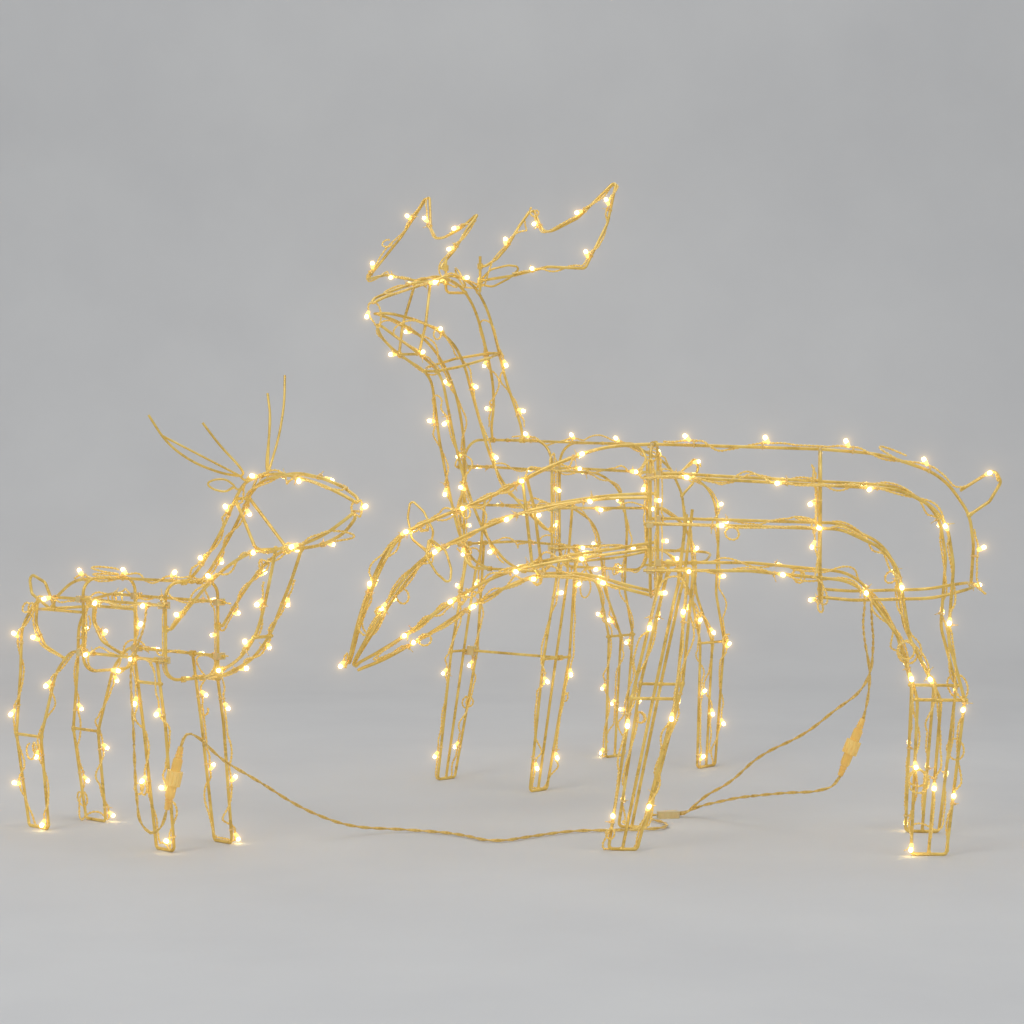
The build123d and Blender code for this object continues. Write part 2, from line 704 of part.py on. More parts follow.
def fawn_leg_strand(side):
    """Lamp wire on one front leg of the young deer."""
    y = side * (F_HALF_WIDTH + STRING_OFFSET)
    line = [(79, 216)] + F_LEG[1:-1] + [(122, 216)]
    return Strand(bent_path(in_plane(line, y), F_LEG_BENDS), (0, side, 0), 0.3, 0.4, F_LEG_SPACING)


# ---------------------------------------------------------------- leads, splitter and couplings

COUPLING_LENGTH = 78.0
COUPLING_R = 6.0
NUT_R = 9.5
COUPLINGS = {
    "doe": ((413, -218, 76), (442, -218, 149)),
    "fawn": ((-415, -378, 56), (-398, -378, 130)),
}
SPLITTER_AT = (205.0, -62.0, 5.0)


def coupling_plane(which):
    """Axes of a coupling: origin at its lower end, Z up along it."""
    low, high = COUPLINGS[which]
    along = (Vector(*high) - Vector(*low)).normalized()
    return Plane(origin=low, x_dir=(0, 1, 0), z_dir=along)


def tapered_end(at, flip):
    """Ribbed strain relief at the cord end of a coupling half."""
    cone = Cone(5.2, 3.2, 16, align=(Align.CENTER, Align.CENTER, Align.MIN))
    grooves = [Pos(0, 0, 3 + 4 * i) * (Cylinder(7, 1.2) - Cylinder(3.4, 1.2)) for i in range(3)]
    for groove in grooves:
        cone -= groove
    turn = Rot(180, 0, 0) if flip else Rot(0, 0, 0)
    return Pos(0, 0, at) * turn * cone


def pin_spots(radius):
    """Two contact pins side by side."""
    return [Pos(x, 0, 0) * Circle(radius) for x in (-1.7, 1.7)]


def socket_half():
    """Lower half with the recess and the two contact holes."""
    body = extrude(Pos(0, 0, 16) * Circle(COUPLING_R), 22) + tapered_end(16, True)
    body -= extrude(Pos(0, 0, 30) * Circle(4.2), 9)
    for spot in pin_spots(0.95):
        body -= extrude(Pos(0, 0, 22) * spot, 10)
    return body


def plug_half():
    """Upper half with the nose that enters the recess."""
    body = extrude(Pos(0, 0, 38.2) * Circle(COUPLING_R), 23.8) + tapered_end(62, False)
    body += extrude(Pos(0, 0, 31) * Circle(4.1), 8)
    for spot in pin_spots(0.83):
        body -= extrude(Pos(0, 0, 30) * spot, 12)
    return body


def contact_pins():
    """Two brass pins held in the plug nose."""
    return [extrude(Pos(0, 0, 24) * spot, 17.8) for spot in pin_spots(0.8)]


def coupling_nut():
    """Knurled collar that locks the two halves."""
    nut = Cylinder(NUT_R, 18) - Cylinder(COUPLING_R + RUN_GAP, 20)
    for i in range(12):
        nut -= Rot(0, 0, 30 * i) * Pos(NUT_R + 0.5, 0, 0) * Cylinder(1.3, 20)
    return Pos(0, 0, 39) * nut


def splitter():
    """Flat moulded junction where the lead divides."""
    wedge = Polygon((-14, -6), (14, -10), (14, 10), (-14, 6), align=None)
    block = extrude(wedge, 9)
    block = fillet(block.edges().filter_by(Axis.Z), 3)
    x, y, _ = SPLITTER_AT
    return Location((x, y, 0), (0, 0, 20)) * block


def splitter_port(u, v):
    """Point just outside the splitter, in its own turned axes."""
    x, y, z = SPLITTER_AT
    a = radians(20)
    return (x + u * cos(a) - v * sin(a), y + u * sin(a) + v * cos(a), z)


def cord(points):
    """Round cord laid through the points."""
    return rod(smooth_path(points), CORD)


def lead_cords():
    """All the cords lying between the figures."""
    doe_low, doe_high = COUPLINGS["doe"]
    fawn_low, fawn_high = COUPLINGS["fawn"]
    main = [
        (-397.4, -378, 132.5), (-392, -374, 150), (-376, -360, 140), (-354, -340, 112), (-310, -315, 82),
        (-262, -280, 44), (-205, -225, 12), (-142, -180, 3), (-70, -215, 3), (-22, -290, 3), (25, -240, 3),
        (80, -190, 3), (140, -190, 3), (196, -172, 3), (202, -130, 3), (180, -94, 3.5),
        splitter_port(-26, 0), splitter_port(-15.5, 0),
    ]
    to_flank = [
        splitter_port(15.5, -5), splitter_port(24, -5), (253, -68, 30), (285, -100, 52), (317, -140, 92),
        (373, -180, 124), (412, -200, 160), (440, -196, 178), (456, -190, 205), (458, -186, 236),
    ]
    to_coupling = [
        splitter_port(15.5, 5), splitter_port(24, 5), (250, -58, 16), (295, -110, 34), (348, -170, 48),
        (382, -205, 54), (404, -218, 62), (412, -218, 73.8),
    ]
    doe_tail = [(442.8, -218, 151.2), (448, -216, 172), (452, -210, 205), (446, -205, 240)]
    fawn_tail = [
        (-415.6, -378, 53.6), (-420, -377, 36), (-433, -376, 24), (-449, -373, 40), (-454, -368, 90),
        (-458, -354, 160), (-463, -338, 205),
    ]
    return [cord(line) for line in (main, to_flank, to_coupling, doe_tail, fawn_tail)]


# ---------------------------------------------------------------- build

def save_adult(name, head, neck):
    """Write the nodes a stag and a doe have in common; neck holds the strands of the head."""
    body = adult_body_strands()
    legs = {1: adult_leg_strand(1), -1: adult_leg_strand(-1)}
    save(name + "_left_side_frame", side_frame(1), name)
    save(name + "_right_side_frame", side_frame(-1), name)
    save(name + "_centre_frame", centre_frame(), name)
    save(name + "_frame_clips", adult_clips(), name)
    save(name + "_left_front_leg", front_leg(1), name)
    save(name + "_right_front_leg", front_leg(-1), name)
    save(name + "_neck_and_head_frame", head, name)
    save(name + "_body_lamps", [x for s in body for x in s.lamps()] + adult_hoop_lamps(), name)
    save(name + "_left_leg_lamps", legs[1].lamps(), name)
    save(name + "_right_leg_lamps", legs[-1].lamps(), name)
    save(name + "_head_lamps", [x for s in neck for x in s.lamps()], name)
    wires = [s.wire() for s in body + list(legs.values()) + neck]
    return wires + [rod(path, STRING) for path in adult_hoop_wires()]


def save_doe():
    """The grazing doe."""
    lines = (DOE_NAPE, DOE_CHEEK, DOE_THROAT, DOE_CHEST)
    head = adult_neck(lines, DOE_NECK_RINGS, (HOOK_HIGH, HOOK_LOW))
    neck = neck_strands(lines) + [nose_strand((540, 232), (541, 208))]
    save("doe_light_string", save_adult("doe", head, neck), "doe")
    left = leaf((423, 60, 376), (396, 80, 322), (12, 2, -3))
    right = leaf((438, -31, 358), (464, -57, 423), (-14, 1, 5))
    save("doe_ears", [left, right], "doe")


def save_stag():
    """The stag with antlers and leg spreader."""
    lines = (STAG_NAPE, STAG_CHEEK, STAG_CHEST_AND_JAW)
    head = adult_neck(lines, STAG_NECK_RINGS, (HOOK_LOW,)) + antler_posts()
    jaw = STAG_CHEST_AND_JAW[7:]
    neck = neck_strands((STAG_NAPE[:8], STAG_NAPE[6:], STAG_CHEEK, jaw))
    neck += chest_strands(STAG_CHEST_AND_JAW[1:7])
    neck.append(nose_strand((425, 690), (419, 650)))
    wires = save_adult("stag", head, neck)
    antlers = {1: antler_strand(1), -1: antler_strand(-1)}
    wires += [s.wire() for s in antlers.values()]
    save("stag_light_string", wires, "stag")
    save("stag_left_antler", antler(1), "stag")
    save("stag_right_antler", antler(-1), "stag")
    save("stag_left_antler_lamps", antlers[1].lamps(), "stag")
    save("stag_right_antler_lamps", antlers[-1].lamps(), "stag")
    save("stag_leg_spreader", spreader_bar(), "stag")
    save("stag_spreader_clip", spreader_clip(), "stag")
    ears = [leaf((222, s * 14, 716), (190, s * 66, 738), (4, s * 2, 12)) for s in (1, -1)]
    save("stag_ears", ears, "stag")


def save_fawn():
    """The young deer."""
    body = fawn_body_strands()
    legs = {1: fawn_leg_strand(1), -1: fawn_leg_strand(-1)}
    neck = neck_strands((F_NAPE, F_CHEEK), F_NECK_SPACING) + [nose_strand((444, 440), (441, 405))]
    for side in (1, -1):
        throat = smooth_path(outward_side(F_THROAT[1:-1], side))
        neck.append(Strand(throat, (0, side, 0), 0.3, 0.3, F_NECK_SPACING))
    save("fawn_left_side_frame", fawn_side_frame(1), "fawn")
    save("fawn_right_side_frame", fawn_side_frame(-1), "fawn")
    save("fawn_centre_frame", fawn_centre_frame(), "fawn")
    save("fawn_frame_clips", fawn_clips(), "fawn")
    save("fawn_left_front_leg", fawn_front_leg(1), "fawn")
    save("fawn_right_front_leg", fawn_front_leg(-1), "fawn")
    save("fawn_neck_and_head_frame", fawn_neck(), "fawn")
    save("fawn_antlers", fawn_antlers(), "fawn")
    ears = [leaf((232, s * 15.5, 445), (206, s * 38, 448), (3, s * 2, 8), 2.6) for s in (1, -1)]
    save("fawn_ears", ears, "fawn")
    save("fawn_body_lamps", [x for s in body for x in s.lamps()] + fawn_hoop_lamps(), "fawn")
    save("fawn_left_leg_lamps", legs[1].lamps(), "fawn")
    save("fawn_right_leg_lamps", legs[-1].lamps(), "fawn")
    save("fawn_head_lamps", [x for s in neck for x in s.lamps()], "fawn")
    wires = [s.wire() for s in body + list(legs.values()) + neck]
    save("fawn_light_string", wires + [rod(path, STRING) for path in fawn_hoop_wires()], "fawn")


def save_leads():
    """Cords, splitter and the two screw couplings."""
    save("lead_cords", lead_cords())
    save("lead_splitter", [splitter()])
    for which in COUPLINGS:
        plane = coupling_plane(which)
        save(which + "_coupling_socket", [plane * socket_half()])
        save(which + "_coupling_plug", [plane * plug_half()])
        save(which + "_coupling_pins", [plane * pin for pin in contact_pins()])
        save(which + "_coupling_nut", [plane * coupling_nut()])


if __name__ == "__main__":
    os.makedirs("parts", exist_ok=True)
    save_doe()
    save_stag()
    save_fawn()
    save_leads()
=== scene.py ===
"""Looks of the lit yard deer: enamelled wire, wound lamp string, lamps, ties, leads and couplings."""
import json
import math
import random

import bpy
import numpy as np
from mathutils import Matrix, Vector
from mathutils.kdtree import KDTree

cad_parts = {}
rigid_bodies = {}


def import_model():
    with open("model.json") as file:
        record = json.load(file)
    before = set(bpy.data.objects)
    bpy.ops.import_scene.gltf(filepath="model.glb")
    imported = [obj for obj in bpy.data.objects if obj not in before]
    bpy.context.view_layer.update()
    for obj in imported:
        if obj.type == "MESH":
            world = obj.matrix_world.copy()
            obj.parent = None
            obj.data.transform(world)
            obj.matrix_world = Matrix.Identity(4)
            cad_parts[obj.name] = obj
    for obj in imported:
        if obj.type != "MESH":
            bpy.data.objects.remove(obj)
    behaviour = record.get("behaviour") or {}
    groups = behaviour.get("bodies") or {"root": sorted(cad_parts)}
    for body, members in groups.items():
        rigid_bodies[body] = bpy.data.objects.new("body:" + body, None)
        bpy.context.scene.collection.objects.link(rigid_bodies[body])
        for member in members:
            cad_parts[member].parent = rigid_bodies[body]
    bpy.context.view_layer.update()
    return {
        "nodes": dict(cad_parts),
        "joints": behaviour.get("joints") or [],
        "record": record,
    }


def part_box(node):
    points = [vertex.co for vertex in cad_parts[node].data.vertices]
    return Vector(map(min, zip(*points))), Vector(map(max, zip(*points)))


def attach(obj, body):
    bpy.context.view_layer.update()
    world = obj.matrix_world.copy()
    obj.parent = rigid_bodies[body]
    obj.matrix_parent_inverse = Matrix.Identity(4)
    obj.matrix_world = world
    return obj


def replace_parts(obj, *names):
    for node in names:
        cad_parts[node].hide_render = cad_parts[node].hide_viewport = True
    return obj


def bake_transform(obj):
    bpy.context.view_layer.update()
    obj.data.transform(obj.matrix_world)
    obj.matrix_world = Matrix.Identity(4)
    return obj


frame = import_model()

rng = random.Random(11)
MM = 0.001

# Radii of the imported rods, and sizes of what is added here
FRAME_R = 2.0 * MM
FINE_R = {"ears": 1.5 * MM, "fawn_ears": 1.3 * MM, "fawn_antlers": 1.5 * MM}
STRING_R = 1.0 * MM
CORD_R = 2.1 * MM
LAMP_R = 2.5 * MM
CORE_R = 0.82 * MM           # one insulated core of the lamp wire
CORE_PITCH = 10.0 * MM       # one full turn of the two cores
TURN_POINTS = 7              # points in one full turn
LEAD_CORE_R = 1.1 * MM       # one core of the lead between the figures
LEAD_PITCH = 46.0 * MM
SOFT_LEAD = 150 * MM         # length of cord next to a plug that is made as a piece of its own
STEP = 1.3 * MM
WIRE_STEP = 2 * MM
GROUND = 0.05 * MM           # nothing added reaches lower

# How the lamp wire lies
ON_RUN = 1.5 * MM            # a lamp this near to a run of lamp wire belongs to it
STIFF_LAMP = 22 * MM         # a lamp this near to a part that moves past it is small and straight
HUG = 15 * MM                # lamp wire this near to such a part keeps to its path
LOOSEN = 14 * MM             # and hangs free this much further away
SNUG = 0.25                  # how far apart the two cores stand where the wire keeps to its path
WIND_OVER = 40 * MM          # between lamps further apart than this the wire may go round its frame wire
TIE_OFF = 7 * MM             # from a lamp to its tie
TIE_REACH = 6.6 * MM
SLACK_EVERY = 0.45           # about one slack loop in this length of lamp wire
JOIN = 48 * MM               # run ends nearer than this are joined by loose wire
JUMP = 16 * MM               # shortest jumper across a joint

WELD_GAP = 4.3 * MM          # frame wires nearer than this are welded
WELD_CLEAR = 8 * MM          # no weld bead this near to a part that moves past it
CLEAR_OF_PLUG = 60 * MM      # cord ends nearer than this to a plug or the splitter are held there
ROOT = "group_frames"
FIGURES = ("doe", "stag", "fawn")


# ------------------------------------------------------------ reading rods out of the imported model

def corner_feet(node, radius):
    """Where each skin corner of a node's rods stands on the middle line, three per triangle.

    A corner of a round skin lies one radius out along its own normal. Flat ends are left out.
    """
    mesh = frame["nodes"][node].data
    place = np.empty(len(mesh.vertices) * 3, np.float32)
    mesh.vertices.foreach_get("co", place)
    which = np.empty(len(mesh.loops), np.int32)
    mesh.loops.foreach_get("vertex_index", which)
    normal = np.empty(len(mesh.loops) * 3, np.float32)
    mesh.corner_normals.foreach_get("vector", normal)
    place = place.reshape(-1, 3)[which].reshape(-1, 3, 3).astype(float)
    normal = normal.reshape(-1, 3, 3).astype(float)
    turn = np.minimum(np.sum(normal[:, 0] * normal[:, 1], 1), np.sum(normal[:, 0] * normal[:, 2], 1))
    round_face = turn < 0.9995
    return (place - normal * radius)[round_face], normal[round_face]


def rods(node, radius, loose=0.4, near=0.35 * MM):
    """Each rod of a node, as a line of points along its middle."""
    feet, normals = corner_feet(node, radius)
    flat = feet.reshape(-1, 3)
    cells, back = np.unique(np.round(flat / (0.2 * MM)).astype(np.int64), axis=0, return_inverse=True)
    back = back.reshape(-1)
    count = np.bincount(back).astype(float)
    spot = np.stack([np.bincount(back, flat[:, k]) for k in range(3)], 1) / count[:, None]
    tree = KDTree(len(spot))
    for i, p in enumerate(spot):
        tree.insert(p, i)
    tree.balance()
    group = list(range(len(spot)))

    def top(i):
        while group[i] != i:
            group[i] = group[group[i]]
            i = group[i]
        return i

    for i, p in enumerate(spot):
        for _, j, _ in tree.find_range(p, near):
            a, b = top(i), top(j)
            if a != b:
                group[b] = a
    heads = np.array([top(i) for i in range(len(spot))])
    _, heads = np.unique(heads, return_inverse=True)
    heads = heads.reshape(-1)
    ring = heads[back]
    total = np.bincount(ring).astype(float)
    middle = np.stack([np.bincount(ring, flat[:, k]) for k in range(3)], 1) / total[:, None]
    out = normals.reshape(-1, 3)
    lean = np.stack([np.bincount(ring, out[:, k]) for k in range(3)], 1) / total[:, None]
    good = np.linalg.norm(lean, axis=1) < loose
    corner = ring.reshape(-1, 3)
    pairs = np.concatenate([corner[:, [0, 1]], corner[:, [1, 2]], corner[:, [2, 0]]])
    pairs = np.unique(np.sort(pairs, axis=1), axis=0)
    pairs = pairs[(pairs[:, 0] != pairs[:, 1]) & good[pairs[:, 0]] & good[pairs[:, 1]]]
    links = {}
    for a, b in pairs:
        links.setdefault(int(a), set()).add(int(b))
        links.setdefault(int(b), set()).add(int(a))
    lines, used = [], set()
    starts = [i for i in sorted(links) if len(links[i]) == 1] + sorted(links)
    for start in starts:
        if start in used:
            continue
        walk = [start]
        used.add(start)
        while True:
            ways = [j for j in links[walk[-1]] if j not in used]
            if not ways:
                break
            ways.sort(key=lambda j: float(np.linalg.norm(middle[j] - middle[walk[-1]])))
            walk.append(ways[0])
            used.add(ways[0])
        if len(walk) > 1:
            lines.append(middle[walk])
    return lines


# ------------------------------------------------------------ lines in space

def unit(v):
    """The same direction, made one long."""
    return v / max(1e-12, float(np.linalg.norm(v)))


def square(v, along):
    """The part of v that is square to a direction, made one long."""
    return unit(v - along * float(v @ along))


def sideways(along):
    """Some direction square to the given one."""
    seed = [0.31, 0.17, 0.93] if abs(along[2]) < 0.8 else [0.95, 0.2, 0.1]
    return square(np.array(seed), along)


def even(points, step=STEP):
    """The same line with evenly spaced points."""
    points = np.asarray(points, float)
    gaps = np.linalg.norm(np.diff(points, axis=0), axis=1)
    points = points[np.concatenate([[True], gaps > 1e-7])]
    run = np.concatenate([[0], np.cumsum(np.linalg.norm(np.diff(points, axis=0), axis=1))])
    at = np.linspace(0, run[-1], max(2, int(round(run[-1] / step)) + 1))
    return np.stack([np.interp(at, run, points[:, k]) for k in range(3)], 1)


def length(points):
    return float(np.sum(np.linalg.norm(np.diff(points, axis=0), axis=1)))


def headings(points):
    """The way a line runs at each of its points."""
    d = np.gradient(points, axis=0)
    return d / np.maximum(1e-12, np.linalg.norm(d, axis=1))[:, None]


def softened(values, width):
    """Moving average along a line, with its ends held."""
    if width < 2:
        return values
    pad = width // 2
    ends = np.concatenate([np.repeat(values[:1], pad, 0), values, np.repeat(values[-1:], pad, 0)])
    total = np.cumsum(np.concatenate([np.zeros((1, values.shape[1])), ends]), axis=0)
    return ((total[2 * pad:] - total[:-2 * pad]) / (2 * pad))[:len(values)]


def bow(a, a_way, b, b_way, slack=0.02, drop=0.0, wobble=1.5 * MM):
    """A loose length of wire from a to b, leaving each end along its own way."""
    reach = float(np.linalg.norm(b - a)) * 0.45 + slack
    down = np.array([0, 0, -drop])
    c1, c2 = a + unit(a_way) * reach + down, b + unit(b_way) * reach + down
    t = np.linspace(0, 1, 60)[:, None]
    line = (1 - t) ** 3 * a + 3 * (1 - t) ** 2 * t * c1 + 3 * (1 - t) * t ** 2 * c2 + t ** 3 * b
    line = even(line)
    t = np.linspace(0, 1, len(line))
    fade = np.sin(math.pi * t)[:, None]
    shake = np.stack([sum(rng.uniform(-1, 1) * np.sin(math.pi * k * t + rng.uniform(0, 6)) / k
                          for k in (3, 4, 6)) for _ in range(3)], 1)
    return line + fade * shake * wobble


# ------------------------------------------------------------ mesh work

class Soup:
    """Vertices and faces gathered for one piece."""

    def __init__(self):
        self.verts, self.faces, self.mats, self.count = [], [], [], 0

    def add(self, verts, faces, mat):
        self.verts.append(np.asarray(verts, float))
        self.faces.append(np.asarray(faces, np.int64) + self.count)
        self.mats.append(np.full(len(faces), mat))
        self.count += len(verts)

    def skin(self, rings, mat):
        """Quads between equal rings, closed at both ends with a fan."""
        n, sides = rings.shape[:2]
        first, last = rings[0].mean(0), rings[-1].mean(0)
        verts = np.concatenate([rings.reshape(-1, 3), [first, last]])
        i, k = np.meshgrid(np.arange(n - 1), np.arange(sides), indexing="ij")
        i, k = i.ravel(), k.ravel()
        k2 = (k + 1) % sides
        a, b, c, d = i * sides + k, i * sides + k2, (i + 1) * sides + k2, (i + 1) * sides + k
        body = np.concatenate([np.stack([a, b, c], 1), np.stack([a, c, d], 1)])
        k = np.arange(sides)
        k2 = (k + 1) % sides
        end = (n - 1) * sides
        caps = np.concatenate([np.stack([k2, k, np.full(sides, n * sides)], 1),
                               np.stack([end + k, end + k2, np.full(sides, n * sides + 1)], 1)])
        self.add(verts, np.concatenate([body, caps]), mat)

    def tube(self, points, radius, sides=6, mat=0):
        """Round tube whose frame is carried along the line without twisting."""
        points = np.asarray(points, float)
        way = headings(points)
        side = sideways(way[0])
        sides_at = np.empty_like(points)
        for i, t in enumerate(way):
            side = square(side, t)
            sides_at[i] = side
        other = np.cross(way, sides_at)
        angle = np.arange(sides) * (2 * math.pi / sides)
        radius = np.broadcast_to(radius, (len(points),))[:, None, None]
        rings = points[:, None] + radius * (np.cos(angle)[None, :, None] * sides_at[:, None]
                                            + np.sin(angle)[None, :, None] * other[:, None])
        self.skin(rings, mat)

    def turned(self, foot, axis, profile, sides=14, mat=0):
        """Turned shape: pairs of height along the axis and radius."""
        axis = unit(np.asarray(axis, float))
        side = sideways(axis)
        other = np.cross(axis, side)
        angle = np.arange(sides) * (2 * math.pi / sides)
        ring = np.cos(angle)[:, None] * side + np.sin(angle)[:, None] * other
        rings = np.stack([foot + axis * h + ring * r for h, r in profile])
        self.skin(rings, mat)

    def piece(self, name, looks, body=None):
        mesh = bpy.data.meshes.new(name)
        verts, faces = np.concatenate(self.verts), np.concatenate(self.faces)
        verts[:, 2] = np.maximum(verts[:, 2], GROUND)
        mesh.vertices.add(len(verts))
        mesh.vertices.foreach_set("co", verts.ravel())
        mesh.loops.add(len(faces) * 3)
        mesh.loops.foreach_set("vertex_index", faces.ravel())
        mesh.polygons.add(len(faces))
        mesh.polygons.foreach_set("loop_start", np.arange(len(faces)) * 3)
        mesh.polygons.foreach_set("loop_total", np.full(len(faces), 3))
        for look in looks:
            mesh.materials.append(look)
        mesh.polygons.foreach_set("material_index", np.concatenate(self.mats))
        mesh.polygons.foreach_set("use_smooth", np.ones(len(faces), bool))
        mesh.update()
        mesh.validate()
        piece = bpy.data.objects.new(name, mesh)
        bpy.context.scene.collection.objects.link(piece)
        if body:
            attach(piece, body)
        return piece


def twisted(soup, points, core=CORE_R, pitch=CORE_PITCH, sides=5, mat=0, spread=None):
    """Two insulated cores laid round each other along a line, drawn together where spread is low."""
    run = np.append(0.0, np.cumsum(np.linalg.norm(np.diff(points, axis=0), axis=1)))
    points = even(points, pitch / TURN_POINTS)
    apart = np.ones(len(points))
    if spread is not None:
        apart = np.interp(np.linspace(0, run[-1], len(points)), run, spread)
    way = headings(points)
    side = sideways(way[0])
    start = rng.uniform(0, 2 * math.pi)
    off = np.empty_like(points)
    for i, t in enumerate(way):
        side = square(side, t)
        turn = start + i * (2 * math.pi / TURN_POINTS)
        off[i] = apart[i] * (math.cos(turn) * side + math.sin(turn) * np.cross(t, side))
    soup.tube(points + off * core * 0.96, core, sides, mat)
    soup.tube(points - off * core * 0.96, core, sides, mat)


# ------------------------------------------------------------ materials

def look(name):
    """A new material, its node tree and its surface node."""
    made = bpy.data.materials.new(name)
    made.use_nodes = True
    tree = made.node_tree
    return made, tree, tree.nodes["Principled BSDF"]


def node(tree, kind, **values):
    """A new node with its inputs, or its settings, filled in."""
    made = tree.nodes.new(kind)
    for key, value in values.items():
        if key in made.inputs:
            made.inputs[key].default_value = value
        else:
            setattr(made, key.lower(), value)
    return made


def grain(tree, scale, detail=3.0, rough=0.55, stretch=None):
    """Noise in the object's own metres."""
    place = node(tree, "ShaderNodeTexCoord")
    made = node(tree, "ShaderNodeTexNoise", Scale=scale, Detail=detail, Roughness=rough)
    if stretch:
        mapping = node(tree, "ShaderNodeMapping")
        mapping.inputs["Scale"].default_value = stretch
        tree.links.new(place.outputs["Object"], mapping.inputs["Vector"])
        tree.links.new(mapping.outputs["Vector"], made.inputs["Vector"])
    else:
        tree.links.new(place.outputs["Object"], made.inputs["Vector"])
    return made.outputs["Fac"]


def shade(tree, value, stops):
    """Colour or grey level that follows a value through stops."""
    made = node(tree, "ShaderNodeValToRGB")
    while len(made.color_ramp.elements) < len(stops):
        made.color_ramp.elements.new(0.5)
    for element, (at, colour) in zip(made.color_ramp.elements, stops):
        element.position = at
        element.color = (*colour, 1) if isinstance(colour, tuple) else (colour, colour, colour, 1)
    tree.links.new(value, made.inputs["Fac"])
    return made.outputs["Color"]


def blended(tree, amount, first, second):
    """Mix of two colours."""
    made = node(tree, "ShaderNodeMixRGB")
    for value, slot in ((amount, "Fac"), (first, "Color1"), (second, "Color2")):
        if isinstance(value, tuple):
            made.inputs[slot].default_value = (*value, 1)
        else:
            tree.links.new(value, made.inputs[slot])
    return made.outputs["Color"]


def relief(tree, skin, height, strength, depth):
    """Bumps from a height value."""
    made = node(tree, "ShaderNodeBump", Strength=strength, Distance=depth)
    tree.links.new(height, made.inputs["Height"])
    tree.links.new(made.outputs["Normal"], skin.inputs["Normal"])


def enamel():
    """Champagne enamel on steel wire: orange peel, thin patches, rubbed spots showing the primer, and a
    faint painted glow for the warm lamp light on the wire.
    """
    made, tree, skin = look("frame_enamel")
    tone = grain(tree, 38.0, 4)
    tones = [(0.28, (0.56, 0.36, 0.07)), (0.52, (0.76, 0.52, 0.12)), (0.78, (0.90, 0.70, 0.22))]
    colour = shade(tree, tone, tones)
    rubbed = shade(tree, grain(tree, 230.0, 5, 0.7), [(0.66, 0.0), (0.73, 1.0)])
    tree.links.new(blended(tree, rubbed, colour, (0.46, 0.30, 0.11)), skin.inputs["Base Color"])
    tree.links.new(shade(tree, tone, [(0.3, 0.22), (0.8, 0.42)]), skin.inputs["Roughness"])
    # painted glow: the enamel colour is given as emission, so the wire looks lit by the warm lamps
    tree.links.new(colour, skin.inputs["Emission Color"])
    skin.inputs["Emission Strength"].default_value = 0.10
    skin.inputs["Metallic"].default_value = 0.3
    skin.inputs["Coat Weight"].default_value = 0.4
    skin.inputs["Coat Roughness"].default_value = 0.15
    relief(tree, skin, grain(tree, 850.0, 2), 0.3, 0.0002)
    return made


def sleeved(name, clear, copper, scale, painted_glow):
    """Clear soft sleeve, copper strands showing through, with a little painted glow for the lamps' light
    on it.
    """
    made, tree, skin = look(name)
    strands = grain(tree, scale, 3)
    colour = shade(tree, strands, [(0.32, copper), (0.68, clear)])
    tree.links.new(colour, skin.inputs["Base Color"])
    # painted glow: the sleeve colour is given as emission, standing in for the lamps' light on the wire
    tree.links.new(colour, skin.inputs["Emission Color"])
    skin.inputs["Emission Strength"].default_value = painted_glow
    skin.inputs["Roughness"].default_value = 0.2
    skin.inputs["Transmission Weight"].default_value = 0.15
    skin.inputs["Coat Weight"].default_value = 0.6
    skin.inputs["Coat Roughness"].default_value = 0.1
    relief(tree, skin, strands, 0.3, 0.0002)
    return made


def lit_lens():
    """Moulded lens lit from inside: nearly white where it faces the eye, amber towards its rim."""
    made, tree, skin = look("lamp_lens_lit")
    facing = node(tree, "ShaderNodeLayerWeight", Blend=0.4)
    warmth = [(0.0, (1.0, 0.82, 0.40)), (0.6, (1.0, 0.69, 0.22)), (1.0, (1.0, 0.52, 0.09))]
    colour = shade(tree, facing.outputs["Facing"], warmth)
    tree.links.new(colour, skin.inputs["Emission Color"])
    power = node(tree, "ShaderNodeMath", operation="MULTIPLY_ADD")
    power.inputs[1].default_value = 5.0
    power.inputs[2].default_value = 9.0
    tree.links.new(grain(tree, 500.0, 2), power.inputs[0])
    tree.links.new(power.outputs[0], skin.inputs["Emission Strength"])
    skin.inputs["Base Color"].default_value = (1.0, 0.80, 0.40, 1)
    skin.inputs["Roughness"].default_value = 0.12
    return made


def moulded(name, low, high, clear=0.3, rough=0.28, painted_glow=0.0):
    """Translucent moulded plastic with flow marks, and, where a glow is given, a painted glow for the
    lamps' light on it.
    """
    made, tree, skin = look(name)
    flow = grain(tree, 150.0, 4, 0.6, (1.0, 1.0, 0.35))
    colour = shade(tree, flow, [(0.3, low), (0.72, high)])
    tree.links.new(colour, skin.inputs["Base Color"])
    skin.inputs["Transmission Weight"].default_value = clear
    skin.inputs["Roughness"].default_value = rough
    skin.inputs["Subsurface Weight"].default_value = 0.15
    skin.inputs["Subsurface Scale"].default_value = 0.004
    # painted glow: the plastic colour is given as emission, the lamps' light painted into husks, ties
    # and couplings
    if painted_glow:
        tree.links.new(colour, skin.inputs["Emission Color"])
        skin.inputs["Emission Strength"].default_value = painted_glow
    relief(tree, skin, grain(tree, 700.0, 2), 0.2, 0.0002)
    return made


def brass():
    """Contact pins with fine rubbing marks along them."""
    made, tree, skin = look("contact_brass_look")
    rub = grain(tree, 900.0, 3, 0.6, (1.0, 1.0, 0.15))
    colour = shade(tree, rub, [(0.3, (0.62, 0.42, 0.16)), (0.8, (0.86, 0.66, 0.32))])
    tree.links.new(colour, skin.inputs["Base Color"])
    tree.links.new(shade(tree, rub, [(0.3, 0.34), (0.8, 0.18)]), skin.inputs["Roughness"])
    skin.inputs["Metallic"].default_value = 1.0
    return made


